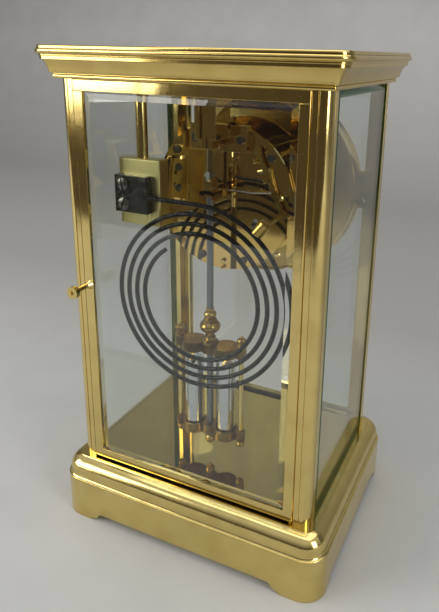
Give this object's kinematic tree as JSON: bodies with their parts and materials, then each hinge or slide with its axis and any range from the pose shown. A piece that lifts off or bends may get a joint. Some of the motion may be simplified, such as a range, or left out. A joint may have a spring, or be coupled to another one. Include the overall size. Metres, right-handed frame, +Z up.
{
  "type": "mantel clock",
  "caption": "Mantel clock in a brass case with four bevelled glass panels, hinged front and rear doors, twin-jar mercury pendulum, coiled gong and striking movement.",
  "frame": {"origin": "middle of the underside of the four feet, on the surface that the clock stands on", "axes": "+Z up, the dial faces -Y, the rear door and the gong face +Y, +X is the knob side of both doors"},
  "size_m": [0.188, 0.156, 0.31],
  "materials": {
    "polished_brass": "polished and lacquered",
    "satin_brass": "satin, lacquered",
    "movement_brass": "brushed and lacquered",
    "steel": "ground",
    "black_steel": "oil-blackened",
    "blued_steel": "heat blued, gloss",
    "bevelled_glass": "polished plate with bevelled edges",
    "jar_glass": "clear tube",
    "mercury": "liquid mirror",
    "dial_enamel": "glossy white enamel"
  },
  "bodies": {
    "case": {"base_moulding": "satin_brass", "floor_plate": "polished_brass", "rear_left_post": "polished_brass", "rear_right_post": "polished_brass", "front_right_post": "polished_brass", "front_left_post": "polished_brass", "left_side_glass": "bevelled_glass", "right_side_glass": "bevelled_glass", "cornice": "satin_brass", "ceiling_plate": "satin_brass", "top_plate": "satin_brass", "case_screws": "steel", "hinge_pins": "polished_brass", "gong_rod": "polished_brass", "gong_rod_nuts": "polished_brass", "gong_block": "satin_brass", "gong_stud": "black_steel", "gong_screws": "steel", "gong_coil": "black_steel", "dial_plate": "dial_enamel", "bezel": "polished_brass", "dial_brackets": "polished_brass", "front_plate": "movement_brass", "back_plate": "movement_brass", "plate_pillars": "movement_brass", "movement_screws": "steel", "suspension_cock": "movement_brass", "suspension_block": "steel"},
    "rear_door": {"rear_door_frame": "polished_brass", "rear_door_glass": "bevelled_glass"},
    "rear_latch": {"rear_door_knob": "polished_brass"},
    "front_door": {"front_door_frame": "polished_brass", "front_door_glass": "bevelled_glass"},
    "front_latch": {"front_door_knob": "polished_brass"},
    "pendulum": {"pendulum_rod": "steel", "jar_cap": "polished_brass", "jar_tray": "polished_brass", "mercury_jars": "jar_glass", "mercury": "mercury", "tie_rods": "polished_brass", "pendulum_finials": "polished_brass", "suspension_spring": "steel"},
    "pallets": {"anchor": "steel"},
    "escape": {"escape_wheel": "movement_brass"},
    "third": {"third_wheel": "movement_brass"},
    "centre": {"centre_wheel": "movement_brass"},
    "second": {"second_wheel": "movement_brass"},
    "going_drum": {"going_barrel": "movement_brass"},
    "fly": {"strike_fly": "movement_brass"},
    "pins": {"pin_wheel": "movement_brass"},
    "strike_second": {"strike_second_wheel": "movement_brass"},
    "strike_drum": {"strike_barrel": "movement_brass"},
    "going_winding": {"going_winding_arbor": "steel"},
    "strike_winding": {"strike_winding_arbor": "steel"},
    "minute_display": {"minute_hand": "blued_steel", "cannon_pinion": "steel"},
    "minute_work": {"minute_wheel": "movement_brass"},
    "hour_display": {"hour_hand": "blued_steel", "hour_wheel": "movement_brass"},
    "hammer_arm": {"hammer": "movement_brass"}
  },
  "joints": [
    {"name": "rear_door_hinge", "type": "hinge", "parent": "case", "child": "rear_door", "pos_m": [-0.06965, 0.0602, 0.168], "axis": [0, 0, 1], "range_deg": [0, 95]},
    {"name": "rear_latch_turn", "type": "hinge", "parent": "rear_door", "child": "rear_latch", "pos_m": [0.0685, 0.0622, 0.168], "axis": [0, 1, 0], "range_deg": [0, 90]},
    {"name": "front_door_hinge", "type": "hinge", "parent": "case", "child": "front_door", "pos_m": [-0.06965, -0.0602, 0.168], "axis": [0, 0, -1], "range_deg": [0, 95]},
    {"name": "front_latch_turn", "type": "hinge", "parent": "front_door", "child": "front_latch", "pos_m": [0.0685, -0.0622, 0.168], "axis": [0, 1, 0], "range_deg": [0, 90]},
    {"name": "pendulum_swing", "type": "hinge", "parent": "case", "child": "pendulum", "pos_m": [0, 0.03, 0.254], "axis": [0, 1, 0], "range_deg": [-3, 3]},
    {"name": "pallet_rock", "type": "hinge", "parent": "case", "child": "pallets", "pos_m": [0, 0, 0.254], "axis": [0, 1, 0], "range_deg": [-3, 3]},
    {"name": "escape_spin", "type": "hinge", "parent": "case", "child": "escape", "pos_m": [0, 0, 0.239], "axis": [0, 1, 0], "continuous": true},
    {"name": "third_spin", "type": "hinge", "parent": "case", "child": "third", "pos_m": [0.01219, 0, 0.23203], "axis": [0, 1, 0], "continuous": true},
    {"name": "centre_spin", "type": "hinge", "parent": "case", "child": "centre", "pos_m": [0, 0, 0.2223], "axis": [0, 1, 0], "continuous": true},
    {"name": "second_spin", "type": "hinge", "parent": "case", "child": "second", "pos_m": [0.00217, 0, 0.20625], "axis": [0, 1, 0], "continuous": true},
    {"name": "going_drum_spin", "type": "hinge", "parent": "case", "child": "going_drum", "pos_m": [0.0225, 0, 0.2098], "axis": [0, 1, 0], "continuous": true},
    {"name": "fly_spin", "type": "hinge", "parent": "case", "child": "fly", "pos_m": [-0.01361, 0, 0.25424], "axis": [0, 1, 0], "continuous": true},
    {"name": "pin_wheel_spin", "type": "hinge", "parent": "case", "child": "pins", "pos_m": [-0.01567, 0, 0.24254], "axis": [0, 1, 0], "continuous": true},
    {"name": "strike_second_spin", "type": "hinge", "parent": "case", "child": "strike_second", "pos_m": [-0.02608, 0, 0.23013], "axis": [0, 1, 0], "continuous": true},
    {"name": "strike_drum_spin", "type": "hinge", "parent": "case", "child": "strike_drum", "pos_m": [-0.0225, 0, 0.2098], "axis": [0, 1, 0], "continuous": true},
    {"name": "going_winding_turn", "type": "hinge", "parent": "case", "child": "going_winding", "pos_m": [0.0225, 0, 0.2098], "axis": [0, 1, 0], "continuous": true},
    {"name": "strike_winding_turn", "type": "hinge", "parent": "case", "child": "strike_winding", "pos_m": [-0.0225, 0, 0.2098], "axis": [0, 1, 0], "continuous": true},
    {"name": "minute_hand_turn", "type": "hinge", "parent": "case", "child": "minute_display", "pos_m": [0, -0.03, 0.2223], "axis": [0, 1, 0], "continuous": true},
    {"name": "minute_wheel_turn", "type": "hinge", "parent": "case", "child": "minute_work", "pos_m": [0, -0.027, 0.2103], "axis": [0, 1, 0], "continuous": true},
    {"name": "hour_hand_turn", "type": "hinge", "parent": "case", "child": "hour_display", "pos_m": [0, -0.035, 0.2223], "axis": [0, 1, 0], "continuous": true},
    {"name": "hammer_lift", "type": "hinge", "parent": "case", "child": "hammer_arm", "pos_m": [-0.0245, 0.017, 0.2528], "axis": [0, 1, 0], "range_deg": [0, 15], "stiffness_Nm_per_rad": 0.02, "springref_deg": -11.46}
  ],
  "couplings": [
    {"joint": "pallet_rock", "follows": "pendulum_swing", "ratio": 1},
    {"joint": "third_spin", "follows": "escape_spin", "ratio": -0.083333},
    {"joint": "centre_spin", "follows": "escape_spin", "ratio": 0.0069444},
    {"joint": "second_spin", "follows": "escape_spin", "ratio": -0.00086806},
    {"joint": "going_drum_spin", "follows": "escape_spin", "ratio": 0.00012401},
    {"joint": "fly_spin", "follows": "pin_wheel_spin", "ratio": -10},
    {"joint": "strike_second_spin", "follows": "pin_wheel_spin", "ratio": -0.125},
    {"joint": "strike_drum_spin", "follows": "pin_wheel_spin", "ratio": 0.017857},
    {"joint": "minute_wheel_turn", "follows": "minute_hand_turn", "ratio": -0.33333},
    {"joint": "hour_hand_turn", "follows": "minute_hand_turn", "ratio": 0.083333}
  ]
}
